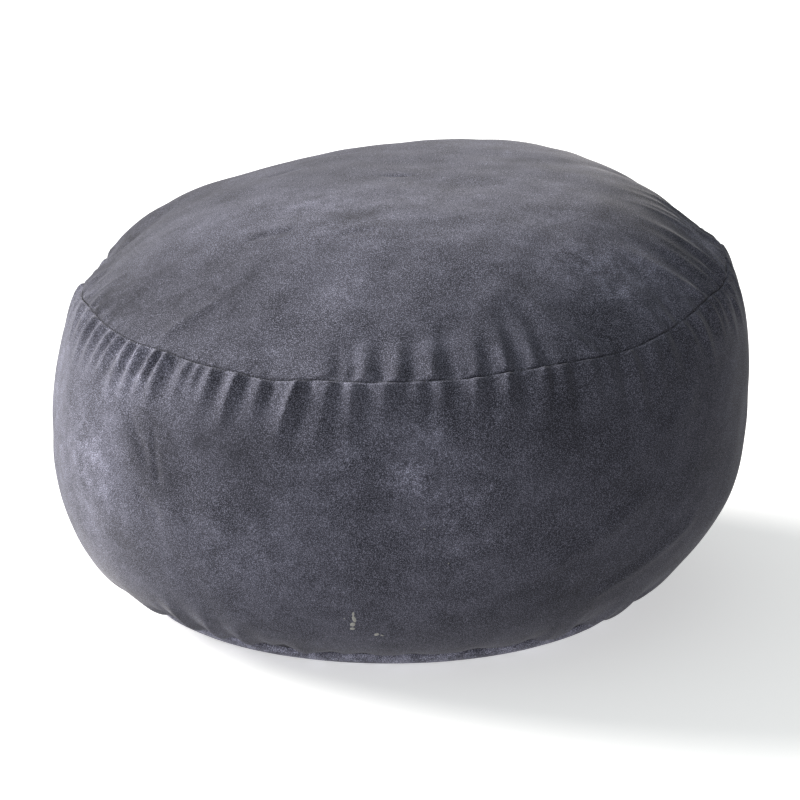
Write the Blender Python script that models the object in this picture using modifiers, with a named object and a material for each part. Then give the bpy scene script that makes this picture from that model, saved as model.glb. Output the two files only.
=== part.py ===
"""A round velvet floor pouf: a drum cushion sewn from three cloth panels, filled, and standing on its base.

Run it with: blender --background --python part.py
Metres, +Z up. The origin is on the floor under the middle of the pouf, and -Y is its front.
Angles run anticlockwise seen from above, from 0 degrees at +X, so the front is at 270 degrees.
Each panel is a solid that holds its own share of the filling, and panels meet on their seams.
"""

import math
import random
from collections import namedtuple

import bpy
from mathutils import Vector

# Driving sizes
TOP_SEAM_RADIUS = 0.273
TOP_SEAM_HEIGHT = 0.289
TOP_SEAM_SHIFT_X = 0.0043
TOP_SEAM_SHIFT_Y = -0.0035
TOP_SEAM_RISE_X = 0.009
TOP_SEAM_RISE_Y = 0.010
BASE_SEAM_RADIUS = 0.214
BASE_SEAM_WIDER_X = 0.012
BASE_SEAM_HEIGHT = 0.0165
BASE_SEAM_SHIFT_X = -0.0077
BASE_SEAM_SHIFT_Y = 0.0065
CROWN_HEIGHT = 0.0815
CROWN_SHIFT_X = 0.030
CROWN_SHOULDER = 3.35
BULGE = 0.050
BULGE_FULLNESS = 0.73
BULGE_SAG = 0.50
BULGE_SAG_RIGHT_LESS = 0.15
BASE_ROLL_WIDTH = 0.030
PANEL_GAP = 0.0003

# How finely the cloth is followed
WIDEST_COLUMN_DEG = 1.8
CROWN_ROWS = 9
BAND_ROWS = 16
BASE_ROLL_ROWS = 4

MM = 0.001
SEAM_RISE = 3 * MM
LUMP_RISE = 20 * MM
FOLD_SPREADS = 0.8
POLE = 1e-6
SMOOTH_ANGLE = math.radians(60)
CLOTH_GREY = (0.075, 0.078, 0.092, 1.0)

# A fold starts at a seam. Its angle is where it leaves the seam, and it has drifted by lean at its far end.
# Its rise is how far it stands out of the cloth, or lies in it where the rise is negative.
Fold = namedtuple("Fold", "angle_deg half_width_mm rise_mm length_mm lean_deg")
SeamWave = namedtuple("SeamWave", "angle_deg spread_deg rise_mm")
# A lump is a soft swelling or dent, at its angle and at its share of the way along the panel.
Lump = namedtuple("Lump", "angle_deg along spread_deg spread_along rise_mm")

BAND_TOP_FOLDS = [
    Fold(193.5, 5, -3.2, 50, 2),
    Fold(197.0, 4, 2.0, 50, 2),
    Fold(199.3, 4, -3.2, 45, 1),
    Fold(202.0, 4, -3.0, 60, 0),
    Fold(206.5, 4, 2.2, 60, -1),
    Fold(209.0, 4, -3.6, 48, -1),
    Fold(212.5, 4, -3.2, 42, -1),
    Fold(216.3, 4, 2.8, 65, -2),
    Fold(218.0, 3.5, -2.8, 42, -1),
    Fold(220.3, 4, 2.4, 60, -2),
    Fold(222.6, 4, -3.8, 45, -1),
    Fold(226.0, 4, -3.4, 40, -2),
    Fold(227.9, 4, 2.6, 55, -2),
    Fold(230.5, 5, -5.2, 50, -2),
    Fold(234.2, 4, -2.4, 32, -1),
    Fold(236.6, 3.5, -2.4, 30, -1),
    Fold(239.6, 5, -5.4, 60, -2),
    Fold(242.0, 4, 2.0, 45, -1),
    Fold(244.8, 4, -3.4, 32, -1),
    Fold(248.3, 4.5, -4.0, 42, 0),
    Fold(252.5, 5, 3.0, 65, -2),
    Fold(255.2, 4, -2.6, 34, 0),
    Fold(259.2, 4, -3.2, 36, 0),
    Fold(262.8, 4.5, -3.8, 75, -1),
    Fold(267.5, 5, -2.8, 42, 0),
    Fold(271.2, 4, -3.4, 32, 0),
    Fold(276.0, 5, -3.0, 50, -1),
    Fold(279.3, 4, -3.8, 38, 0),
    Fold(283.3, 4, -3.0, 36, 0),
    Fold(287.5, 5, -5.6, 100, 0),
    Fold(291.0, 4, -2.4, 30, 0),
    Fold(294.2, 5, -3.4, 36, -1),
    Fold(300.0, 6, -3.8, 50, 2),
    Fold(304.5, 4, -2.6, 30, 1),
    Fold(308.0, 5, -3.6, 55, 2),
    Fold(312.5, 4, -2.8, 32, 1),
    Fold(317.0, 4, 1.8, 45, 2),
    Fold(321.5, 5, -2.8, 40, 2),
    Fold(327.5, 4, 2.4, 75, 3),
    Fold(330.0, 4, -2.6, 45, 2),
    Fold(334.0, 4, 2.0, 50, 1),
    Fold(338.5, 4, 2.2, 60, 0),
    Fold(341.0, 4, -2.8, 50, 0),
]
CROWN_FOLDS = [
    Fold(2.0, 9, 1.6, 150, 9),
    Fold(11.0, 9, -5.5, 170, 12),
    Fold(162.0, 9, 4.0, 110, -3),
    Fold(171.5, 9, -5.0, 110, -6),
    Fold(179.5, 8, 2.4, 60, -3),
    Fold(186.0, 7, -2.6, 50, -2),
    Fold(194.0, 7, -2.2, 45, -1),
    Fold(205.0, 8, -1.8, 50, 0),
    Fold(217.0, 10, -2.4, 90, 3),
    Fold(225.0, 10, 2.2, 90, 6),
    Fold(238.0, 9, -1.6, 40, 0),
    Fold(250.5, 6, -2.0, 26, -1),
    Fold(258.5, 7, -2.4, 32, -1),
    Fold(265.5, 8, -3.8, 55, -2),
    Fold(271.0, 7, -2.4, 42, -1),
    Fold(277.5, 9, -3.8, 62, -2),
    Fold(282.5, 7, -2.6, 38, 0),
    Fold(288.0, 9, -5.2, 80, -1),
    Fold(294.0, 8, 1.8, 60, -3),
    Fold(299.5, 8, -3.6, 80, -8),
    Fold(303.5, 7, 2.4, 95, -9),
    Fold(311.0, 8, -2.6, 60, -5),
    Fold(316.5, 8, 1.8, 80, -6),
    Fold(323.0, 9, -4.2, 85, -5),
    Fold(333.0, 7, 3.2, 130, -14),
    Fold(339.0, 7, -3.2, 90, -9),
    Fold(348.0, 7, 3.4, 130, -11),
    Fold(354.5, 8, -4.2, 100, -4),
]
BAND_BASE_FOLDS = [
    Fold(192.0, 8, -3.8, 60, 4),
    Fold(198.5, 8, 4.4, 75, 5),
    Fold(204.5, 7, -4.8, 60, 4),
    Fold(211.0, 7, 3.2, 50, 3),
    Fold(216.5, 6, -4.2, 50, 3),
    Fold(223.0, 7, 2.8, 45, 3),
    Fold(230.0, 7, -4.0, 50, 4),
    Fold(236.5, 6, 2.0, 36, 3),
    Fold(245.5, 7, -3.8, 40, 3),
    Fold(250.5, 6, 2.4, 35, 2),
    Fold(257.0, 6, -2.0, 28, 1),
    Fold(264.0, 7, -2.6, 30, 0),
    Fold(275.0, 7, -1.8, 26, 0),
    Fold(290.0, 8, -2.2, 30, -1),
    Fold(303.0, 7, -2.6, 34, -2),
    Fold(309.0, 8, 2.8, 42, -2),
    Fold(316.0, 8, -3.8, 50, -3),
    Fold(325.0, 8, 3.2, 55, -3),
    Fold(332.0, 7, -3.6, 50, -3),
    Fold(338.5, 8, 3.0, 50, -3),
]
BASE_FOLDS = [
    Fold(207.0, 9, -1.6, 22, 1),
    Fold(222.0, 9, -1.4, 20, 0),
    Fold(249.0, 10, -1.2, 20, 0),
    Fold(281.0, 12, 1.0, 22, 0),
    Fold(309.0, 9, -1.6, 22, 0),
    Fold(328.0, 9, -1.6, 22, 0),
]
BAND_LUMPS = [
    Lump(344, 0.32, 24, 0.20, 6.5),
    Lump(10, 0.58, 22, 0.25, -2.5),
    Lump(212, 0.14, 18, 0.12, 7.0),
    Lump(188, 0.62, 18, 0.24, -3.0),
    Lump(120, 0.45, 30, 0.25, 3.0),
    Lump(55, 0.35, 26, 0.25, -2.5),
]
CROWN_LUMPS = [
    Lump(155, 0.86, 13, 0.12, 6.0),
    Lump(136, 0.64, 22, 0.18, -3.0),
    Lump(100, 0.75, 16, 0.18, -3.0),
    Lump(62, 0.72, 22, 0.22, 3.0),
    Lump(28, 0.84, 16, 0.14, -5.0),
    Lump(250, 0.55, 40, 0.25, 2.0),
]
# The top seam dips or climbs where the filling has settled.
TOP_SEAM_WAVES = [
    SeamWave(170, 20, -10.5),
    SeamWave(150, 9, 2.0),
    SeamWave(110, 22, 2.5),
    SeamWave(62, 20, -3.5),
    SeamWave(8, 9, 2.5),
    SeamWave(228, 8, -2.5),
    SeamWave(250, 9, 2.5),
    SeamWave(279, 8, 1.8),
    SeamWave(309, 7, 3.0),
    SeamWave(335, 9, -2.5),
]
# The hidden back has folds like those in front, spread by these numbers.
BACK_BAND_COUNT = 34
BACK_CROWN_COUNT = 19
BACK_BASE_COUNT = 20
# The band is a strip that is closed by one upright seam at the back.
BAND_JOIN_ANGLE = 90.0
BAND_JOIN_HALF_WIDTH = 3 * MM
BAND_JOIN_DEPTH = 1.5 * MM


def back_folds(first_deg, last_deg, count, half_width_mm, depth_mm, length_mm, seed):
    """Folds spread unevenly over the back, between two angles, in valleys and ridges by turns."""
    chance = random.Random(seed)
    step = (last_deg - first_deg) / count
    folds = []
    for i in range(count):
        angle = first_deg + (i + 0.5 + chance.uniform(-0.28, 0.28)) * step
        side = -1 if i % 2 == 0 else 0.75
        rise = side * depth_mm * chance.uniform(0.7, 1.3)
        width = half_width_mm * chance.uniform(0.85, 1.2)
        length = length_mm * chance.uniform(0.7, 1.4)
        folds.append(Fold(angle % 360, width, rise, length, chance.uniform(-2.5, 2.5)))
    return folds


BAND_TOP_FOLDS += back_folds(-17, 192, BACK_BAND_COUNT, 4.5, 3.0, 44, seed=3)
CROWN_FOLDS += back_folds(18, 156, BACK_CROWN_COUNT, 8, 3.0, 80, seed=5)
BAND_BASE_FOLDS += back_folds(-17, 188, BACK_BASE_COUNT, 7, 3.2, 45, seed=8)
BASE_FOLDS += back_folds(-22, 196, 10, 9, 1.2, 20, seed=11)


def turn(angle):
    """The unit vector that points out from the axis at an angle in radians."""
    return Vector((math.cos(angle), math.sin(angle), 0.0))


def top_seam(angle, wave_share=1.0):
    """A point on the seam between the crown and the band, which slopes a little and waves."""
    rise = TOP_SEAM_RISE_X * math.cos(angle) + TOP_SEAM_RISE_Y * math.sin(angle)
    for wave in TOP_SEAM_WAVES:
        across = degrees_apart(math.degrees(angle), wave.angle_deg) / wave.spread_deg
        rise += wave_share * wave.rise_mm * MM * math.exp(-(across**2))
    centre = Vector((TOP_SEAM_SHIFT_X, TOP_SEAM_SHIFT_Y, TOP_SEAM_HEIGHT + rise))
    return centre + TOP_SEAM_RADIUS * turn(angle)


def base_seam(angle):
    """A point on the seam between the band and the base, which is level and a little wider than deep."""
    radius = BASE_SEAM_RADIUS + BASE_SEAM_WIDER_X * math.cos(2 * angle)
    return Vector((BASE_SEAM_SHIFT_X, BASE_SEAM_SHIFT_Y, BASE_SEAM_HEIGHT)) + radius * turn(angle)


def crown_form(angle, along):
    """The plain crown: along is 0 at its top and 1 on the top seam."""
    rim = top_seam(angle, along**4)
    top = Vector((TOP_SEAM_SHIFT_X, TOP_SEAM_SHIFT_Y, TOP_SEAM_HEIGHT))
    point = top.lerp(rim, along)
    point.x += CROWN_SHIFT_X * (1 - along**2)
    point.z += CROWN_HEIGHT * (1 - along**CROWN_SHOULDER)
    return point


def band_form(angle, along):
    """The plain band: along is 0 on the base seam and 1 on the top seam, and it sags lowest on the left."""
    sag = BULGE_SAG - BULGE_SAG_RIGHT_LESS * math.cos(angle)
    swell = max(4 * along * (1 - along), 0.0) ** BULGE_FULLNESS * (1 - sag * (along - 0.5))
    rim = top_seam(angle, along**2)
    return base_seam(angle).lerp(rim, along) + BULGE * swell * turn(angle)


def base_form(angle, along):
    """The plain base: flat on the floor up to half way along, then rolling up to the base seam."""
    rim = base_seam(angle)
    middle = Vector((BASE_SEAM_SHIFT_X, BASE_SEAM_SHIFT_Y, 0.0))
    floor_edge = Vector((rim.x, rim.y, 0.0)) - BASE_ROLL_WIDTH * turn(angle)
    if along <= 0.5:
        return middle.lerp(floor_edge, along * 2)
    roll = (along - 0.5) * math.pi
    lift = BASE_SEAM_HEIGHT * (1 - math.cos(roll))
    return floor_edge + BASE_ROLL_WIDTH * math.sin(roll) * turn(angle) + Vector((0, 0, lift))


def normal_of(form, angle, along):
    """The outward direction of a plain form, from short steps along it and round it."""
    step = 0.004
    near, far = max(along - step, 0.0), min(along + step, 1.0)
    along_it = form(angle, far) - form(angle, near)
    round_it = form(angle + step, max(along, step)) - form(angle - step, max(along, step))
    normal = round_it.cross(along_it)
    if normal.dot(form(angle, along) - Vector((0.0, 0.0, TOP_SEAM_HEIGHT / 2))) < 0:
        normal.negate()
    return normal.normalized()


def degrees_apart(first, second):
    """The signed difference between two angles, from -180 to 180 degrees."""
    return (first - second + 180) % 360 - 180


def fold_rise(fold, angle_deg, radius, reach):
    """How far one fold lifts the cloth at a point that is reach away from the seam."""
    length = fold.length_mm * MM
    if reach >= length:
        return 0.0
    share = reach / length
    apart = degrees_apart(angle_deg, fold.angle_deg + fold.lean_deg * share)
    width = fold.half_width_mm * MM * (1 + FOLD_SPREADS * share)
    across = math.radians(apart) * radius / width
    fade = min(reach / SEAM_RISE, 1.0) * (1 - share**2) ** 2
    return fold.rise_mm * MM * fade * math.exp(-(across**2))


def lump_rise(lump, angle_deg, along):
    """How far one lump lifts the cloth."""
    across = degrees_apart(angle_deg, lump.angle_deg) / lump.spread_deg
    up = (along - lump.along) / lump.spread_along
    return lump.rise_mm * MM * math.exp(-(across**2) - up**2)


def relief(form, seam_along, folds, lumps, angle, along):
    """All the folds from one seam of a panel, and its lumps, at one point of the cloth."""
    point = form(angle, along)
    reach = (point - form(angle, seam_along)).length
    angle_deg = math.degrees(angle)
    radius = math.hypot(point.x, point.y)
    total = sum(fold_rise(fold, angle_deg, radius, reach) for fold in folds)
    at_seam = min(reach / LUMP_RISE, 1.0)
    return total + at_seam * sum(lump_rise(lump, angle_deg, along) for lump in lumps)


def crown_surface(angle, along):
    """The crown's cloth, with its folds and lumps."""
    rise = relief(crown_form, 1.0, CROWN_FOLDS, CROWN_LUMPS, angle, along)
    return crown_form(angle, along) + rise * normal_of(crown_form, angle, along)


def band_surface(angle, along):
    """The band's cloth, with the folds of both of its seams, its lumps and its closing seam."""
    rise = relief(band_form, 1.0, BAND_TOP_FOLDS, [], angle, along)
    rise += relief(band_form, 0.0, BAND_BASE_FOLDS, [], angle, along)
    shape = math.sin(math.pi * along)
    rise += shape * sum(lump_rise(lump, math.degrees(angle), along) for lump in BAND_LUMPS)
    apart = degrees_apart(math.degrees(angle), BAND_JOIN_ANGLE)
    across = math.radians(apart) * TOP_SEAM_RADIUS / BAND_JOIN_HALF_WIDTH
    rise -= BAND_JOIN_DEPTH * min(shape * 3, 1.0) * math.exp(-(across**2))
    return band_form(angle, along) + rise * normal_of(band_form, angle, along)


def base_surface(angle, along):
    """The base's cloth, with the folds of its rolled edge. It stays flat where it is on the floor."""
    if along <= 0.5:
        return base_form(angle, along)
    rise = relief(base_form, 1.0, BASE_FOLDS, [], angle, along)
    point = base_form(angle, along) + rise * normal_of(base_form, angle, along)
    point.z = max(point.z, 0.0)
    return point


def column_angles(folds):
    """The angles, in radians, of a panel's columns: on each fold's middle and sides, and evenly between."""
    marks = {BAND_JOIN_ANGLE, BAND_JOIN_ANGLE - 0.8, BAND_JOIN_ANGLE + 0.8}
    for fold in folds:
        side = math.degrees(fold.half_width_mm * MM / TOP_SEAM_RADIUS)
        marks |= {round((fold.angle_deg + k * side) % 360, 3) for k in (-1, 0, 1)}
    kept = []
    for mark in sorted(marks):
        if not kept or mark - kept[-1] > WIDEST_COLUMN_DEG * 0.42:
            kept.append(mark)
    angles = []
    for start, end in zip(kept, kept[1:] + [kept[0] + 360]):
        parts = max(1, math.ceil((end - start) / WIDEST_COLUMN_DEG))
        angles += [start + (end - start) * k / parts for k in range(parts)]
    return [math.radians(angle) for angle in angles]


def velvet():
    """The cover's cloth: a dark blue-grey velvet."""
    material = bpy.data.materials.new("grey_velvet")
    material.use_nodes = True
    shader = material.node_tree.nodes["Principled BSDF"]
    shader.inputs["Base Color"].default_value = CLOTH_GREY
    shader.inputs["Roughness"].default_value = 0.85
    shader.inputs["Metallic"].default_value = 0.0
    shader.inputs["Sheen Weight"].default_value = 0.6
    return material


def turned_blank(name, rows, columns):
    """A closed solid of revolution in which a point's row is its distance up a straight profile.

    The profile runs from the axis out to a rim and back to the axis, and Screw turns it.
    """
    profile = bpy.data.meshes.new(name)
    points = [(0.0, 0.0, 0.0)] + [(1.0, 0.0, float(row)) for row in range(rows)] + [(0.0, 0.0, rows - 1.0)]
    points.reverse()
    profile.from_pydata(points, [(i, i + 1) for i in range(len(points) - 1)], [])
    blank = bpy.data.objects.new(name, profile)
    bpy.context.scene.collection.objects.link(blank)
    screw = blank.modifiers.new("turn", "SCREW")
    screw.steps = screw.render_steps = columns
    screw.use_merge_vertices = True
    screw.merge_threshold = 0.0001
    graph = bpy.context.evaluated_depsgraph_get()
    mesh = bpy.data.meshes.new_from_object(blank.evaluated_get(graph))
    bpy.data.objects.remove(blank)
    return mesh


def sewn_panel(name, rows, columns, place, ends):
    """One panel's solid. place gives the cloth's point at an angle and a row, and ends the two end faces' middles."""
    mesh = turned_blank(name, rows, len(columns))
    for vertex in mesh.vertices:
        row = round(vertex.co.z)
        if math.hypot(vertex.co.x, vertex.co.y) < POLE:
            vertex.co = ends[0] if row == 0 else ends[1]
            continue
        turned = math.atan2(vertex.co.y, vertex.co.x) % math.tau
        column = round(turned / math.tau * len(columns)) % len(columns)
        vertex.co = place(columns[column], row)
    panel = bpy.data.objects.new(name, mesh)
    mesh.materials.append(bpy.data.materials["grey_velvet"])
    mesh.shade_smooth()
    mesh.set_sharp_from_angle(angle=SMOOTH_ANGLE)
    return panel


def crown_panel():
    """The round top panel, domed by the filling under it."""
    shares = [math.sin(math.pi / 2 * k / CROWN_ROWS) for k in range(1, CROWN_ROWS + 1)]
    shares.reverse()
    lift = Vector((0.0, 0.0, PANEL_GAP / 2))
    under = Vector((TOP_SEAM_SHIFT_X, TOP_SEAM_SHIFT_Y, TOP_SEAM_HEIGHT)) + lift
    ends = (under, crown_surface(0.0, 0.0))
    columns = column_angles(CROWN_FOLDS)
    return sewn_panel(
        "top_panel",
        len(shares),
        columns,
        lambda angle, row: crown_surface(angle, shares[row]) + lift * (row == 0),
        ends,
    )


def side_band():
    """The upright strip between the two seams, bulging outwards and lowest on the left."""
    shares = [(1 - math.cos(math.pi * k / BAND_ROWS)) / 2 for k in range(BAND_ROWS + 1)]
    lift = Vector((0.0, 0.0, PANEL_GAP / 2))
    ends = (
        Vector((BASE_SEAM_SHIFT_X, BASE_SEAM_SHIFT_Y, BASE_SEAM_HEIGHT)) + lift,
        Vector((TOP_SEAM_SHIFT_X, TOP_SEAM_SHIFT_Y, TOP_SEAM_HEIGHT)) - lift,
    )

    def place(angle, row):
        point = band_surface(angle, shares[row])
        return point + lift * (row == 0) - lift * (row == BAND_ROWS)

    columns = column_angles(BAND_TOP_FOLDS)
    return sewn_panel("side_band", len(shares), columns, place, ends)


def base_panel():
    """The round base panel, flat on the floor and rolled up at its edge to meet the band."""
    shares = [0.5 + 0.5 * k / BASE_ROLL_ROWS for k in range(BASE_ROLL_ROWS + 1)]
    drop = Vector((0.0, 0.0, PANEL_GAP / 2))
    ends = (
        Vector((BASE_SEAM_SHIFT_X, BASE_SEAM_SHIFT_Y, 0.0)),
        Vector((BASE_SEAM_SHIFT_X, BASE_SEAM_SHIFT_Y, BASE_SEAM_HEIGHT)) - drop,
    )
    columns = column_angles(BASE_FOLDS)
    return sewn_panel(
        "base_panel",
        len(shares),
        columns,
        lambda angle, row: base_surface(angle, shares[row]) - drop * (row == BASE_ROLL_ROWS),
        ends,
    )


def main():
    """Clears the scene and builds the pouf in its own collection."""
    for obj in list(bpy.data.objects):
        bpy.data.objects.remove(obj)
    velvet()
    pouf = bpy.data.collections.new("velvet_pouf")
    bpy.context.scene.collection.children.link(pouf)
    for panel in (crown_panel(), side_band(), base_panel()):
        pouf.objects.link(panel)


main()
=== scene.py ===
"""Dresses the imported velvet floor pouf: three padded velvet panels, their seams, and the studio.

The pouf stands on the floor at the origin with +Z up, and -Y is the side that faces the camera.
Angles run anticlockwise seen from above, from 0 degrees at +X. Sizes are in metres unless a name says mm.
"""

import math
from collections import namedtuple

import bmesh
import bpy
import numpy as np
from mathutils import Matrix, Vector


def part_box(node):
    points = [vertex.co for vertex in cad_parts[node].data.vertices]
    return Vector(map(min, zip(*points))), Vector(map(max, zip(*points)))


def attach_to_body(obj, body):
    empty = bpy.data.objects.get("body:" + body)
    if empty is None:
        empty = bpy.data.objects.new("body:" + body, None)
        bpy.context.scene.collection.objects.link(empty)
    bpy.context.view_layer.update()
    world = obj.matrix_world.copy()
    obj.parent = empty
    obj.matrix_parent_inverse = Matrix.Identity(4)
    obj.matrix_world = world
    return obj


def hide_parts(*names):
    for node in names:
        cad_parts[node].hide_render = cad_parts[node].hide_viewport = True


bl_info = {
    "name": "Velvet Floor Pouf",
    "version": (1, 0, 0),
    "blender": (4, 5, 0),
    "location": "View3D > Sidebar > Pouf",
    "description": "Makes a round velvet floor pouf with gathered seams, and a plain studio round it",
    "category": "Add Mesh",
}

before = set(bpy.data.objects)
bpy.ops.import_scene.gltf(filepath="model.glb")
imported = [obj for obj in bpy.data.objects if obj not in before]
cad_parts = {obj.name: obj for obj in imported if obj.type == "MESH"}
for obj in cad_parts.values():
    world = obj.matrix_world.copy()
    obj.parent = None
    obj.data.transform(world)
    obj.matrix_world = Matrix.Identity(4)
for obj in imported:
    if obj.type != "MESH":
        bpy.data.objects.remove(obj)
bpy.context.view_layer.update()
MM = 0.001

# Sizes that the frame gives
CROWN_LOW, CROWN_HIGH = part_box("top_panel")
BASE_LOW, BASE_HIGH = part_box("base_panel")
TOP_SEAM_RADIUS = (CROWN_HIGH.x - CROWN_LOW.x) / 2
TOP_SEAM_X = (CROWN_HIGH.x + CROWN_LOW.x) / 2
TOP_SEAM_Y = (CROWN_HIGH.y + CROWN_LOW.y) / 2
BASE_SEAM_RADIUS = (BASE_HIGH.x - BASE_LOW.x + BASE_HIGH.y - BASE_LOW.y) / 4
BASE_SEAM_WIDER_X = (BASE_HIGH.x - BASE_LOW.x) / 2 - BASE_SEAM_RADIUS
BASE_SEAM_X = (BASE_HIGH.x + BASE_LOW.x) / 2
BASE_SEAM_Y = (BASE_HIGH.y + BASE_LOW.y) / 2

# The pouf's form, as its solids have it
TOP_SEAM_HEIGHT = 0.289
TOP_SEAM_RISE_X = 0.009
TOP_SEAM_RISE_Y = 0.010
BASE_SEAM_HEIGHT = 0.0165
CROWN_HEIGHT = 0.0815
CROWN_SHIFT_X = 0.030
CROWN_SHOULDER = 3.35
BULGE = 0.050
BULGE_FULLNESS = 0.73
BULGE_SAG = 0.50
BULGE_SAG_RIGHT_LESS = 0.15
BASE_ROLL_WIDTH = 0.030

# How the cloth meets a seam
SEAM_HALF_GAP = 0.1 * MM
SEAM_DEPTH = 1.1 * MM
SEAM_ROLL = 1.0 * MM
SEAM_LIP = 0.35 * MM
SEAM_LIP_REACH = 1.5 * MM
FOLD_RISES_OVER = 1.6 * MM
LUMP_RISES_OVER = 20 * MM
FOLD_SPREADS = 0.8
FOLD_ROUNDNESS = 1.8
SEAM_ROLL_ROUNDNESS = 1.3
# Rows of points this near to a seam, as a share of the panel, lie on it.
ON_SEAM = 0.0001
TOP_SEAM_TILT = 0.55
BASE_SEAM_TILT = -0.75

# How finely the cloth is followed
BAND_COLUMNS, BAND_ROWS = 1100, 84
CROWN_COLUMNS, CROWN_ROWS = 1100, 66
BASE_COLUMNS, BASE_ROWS = 800, 26
FINEST_ROW = 0.16
ROW_GROWTH = 1.2
# The innermost ring of a panel with a pole is this share of the next one.
POLE_RING = 0.02
SMOOTH_ANGLE = math.radians(70)
NORMAL_STEP = 0.003

# A fold starts at a seam and has drifted by lean at its far end. A negative rise is a valley.
Fold = namedtuple("Fold", "angle_deg half_width_mm rise_mm length_mm lean_deg")
SeamWave = namedtuple("SeamWave", "angle_deg spread_deg rise_mm")
Lump = namedtuple("Lump", "angle_deg along spread_deg spread_along rise_mm")
# A crease is a short straight trough or ridge between two points near the cloth.
Crease = namedtuple("Crease", "start end half_width_mm rise_mm")
# Patches of pile brushed the other way, and patches of painted light and painted shade. A negative shade is
# darker.
NapAndPaintedLightPatch = namedtuple("NapAndPaintedLightPatch", "place across_mm tall_mm shade")
# A scrap of lint on the band.
Lint = namedtuple("Lint", "angle_deg height length_mm width_mm turn_deg")

# The top seam dips or climbs where the filling has settled.
TOP_SEAM_WAVES = [
    SeamWave(170, 20, -10.5),
    SeamWave(150, 9, 2),
    SeamWave(110, 22, 2.5),
    SeamWave(62, 20, -3.5),
    SeamWave(8, 9, 2.5),
    SeamWave(228, 8, -2.5),
    SeamWave(250, 9, 2.5),
    SeamWave(279, 8, 1.8),
    SeamWave(309, 7, 3),
    SeamWave(335, 9, -2.5),
    SeamWave(199, 8, 5.5),
    SeamWave(213, 7, 1.5),
    SeamWave(227, 7, 5.5),
    SeamWave(248.5, 6, -5.5),
    SeamWave(264, 10, -1),
    SeamWave(279.5, 6, -3),
    SeamWave(309, 8, -6.5),
    SeamWave(334, 8, 8),
]
BAND_TOP_FOLDS = [
    Fold(196.2, 3.5, 2, 50, 0.8),
    Fold(198.4, 3.4, -1.3, 36, -1),
    Fold(201, 3, 1.8, 36, -2.5),
    Fold(202.6, 2.8, -1.6, 44, -3),
    Fold(204.8, 3.6, 4.1, 55, -3.6),
    Fold(206.3, 2.6, -1.8, 46, -3.2),
    Fold(207.9, 3.2, 3.1, 50, -2.8),
    Fold(209.9, 3.2, -2.3, 46, -3.4),
    Fold(212, 3.2, 2.9, 48, -4.2),
    Fold(213.4, 2.8, -2.3, 46, -4.3),
    Fold(214.8, 3.2, 3.3, 50, -4.5),
    Fold(216.6, 3.2, -2.9, 52, -3.8),
    Fold(218.6, 3.8, 3.3, 60, -3.4),
    Fold(220.1, 2.8, -2.2, 56, -2.8),
    Fold(221.7, 3.8, 3.6, 62, -2.4),
    Fold(223.8, 4, -2.5, 56, -3),
    Fold(226, 3.5, 4.5, 50, -3.8),
    Fold(227, 2.5, -2, 45, -3),
    Fold(228.2, 4, 4.5, 60, -2.6),
    Fold(230.5, 5, -2, 50, -2),
    Fold(233, 3.5, 2.9, 40, -2),
    Fold(235.5, 3, 2.6, 28, -1.5),
    Fold(238, 4.5, 2.6, 55, -2),
    Fold(240, 3.5, -2, 40, -1),
    Fold(242.5, 3.5, 3.6, 55, -2),
    Fold(244.5, 4, -2.1, 50, -1),
    Fold(247, 4, 2.3, 40, -1),
    Fold(249, 4, -2.3, 45, -1),
    Fold(253, 3.5, 4.2, 60, -3),
    Fold(255, 4, -3, 72, -1.5),
    Fold(258, 5, 1.9, 72, -1),
    Fold(260, 4, -1.6, 58, 0),
    Fold(262, 5, 2.2, 65, 0),
    Fold(264.5, 5, -1.9, 65, 0),
    Fold(267, 5, 1.6, 58, 0),
    Fold(270.5, 5, -1.7, 58, 0),
    Fold(274, 4, -2.2, 43, 0),
    Fold(276, 4, 1.9, 58, 0),
    Fold(278, 4, -2.2, 43, 0),
    Fold(281.5, 5, 3.5, 65, -0.5),
    Fold(284, 3.5, -1.9, 50, 0),
    Fold(286.5, 4.5, 3.5, 58, -1),
    Fold(289, 4, -2.2, 58, 0),
    Fold(292.5, 5, 3.8, 65, -1),
    Fold(294.2, 3, -1.9, 50, 0),
    Fold(295.7, 4.5, 3, 65, 0),
    Fold(298, 4.5, -2.7, 65, 0.5),
    Fold(301, 4.5, 2.7, 65, 1),
    Fold(304, 3.5, 2.2, 50, 1),
    Fold(306.8, 3.5, -2.7, 72, 1),
    Fold(309, 4, 2.7, 72, 2),
    Fold(311.5, 4, -1.9, 65, 1),
    Fold(314, 5, 2.2, 65, 1),
    Fold(317.5, 4, 1.9, 50, 1),
    Fold(320, 4, -2, 58, 1.5),
    Fold(323, 3, 2.2, 40, 3),
    Fold(325, 3.5, -1.8, 40, 2.5),
    Fold(327, 3, 3.2, 62, 3),
    Fold(329.5, 3.5, -2.2, 45, 2.5),
    Fold(332, 3, 2.7, 45, 3),
    Fold(335, 3, 1.8, 45, 2),
    Fold(337.2, 3, 3.2, 50, 4.5),
    Fold(340, 3, 2.2, 28, 2),
    Fold(343, 3, 3.2, 50, 5),
    Fold(346, 3, 1.4, 35, 2),
]
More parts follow.
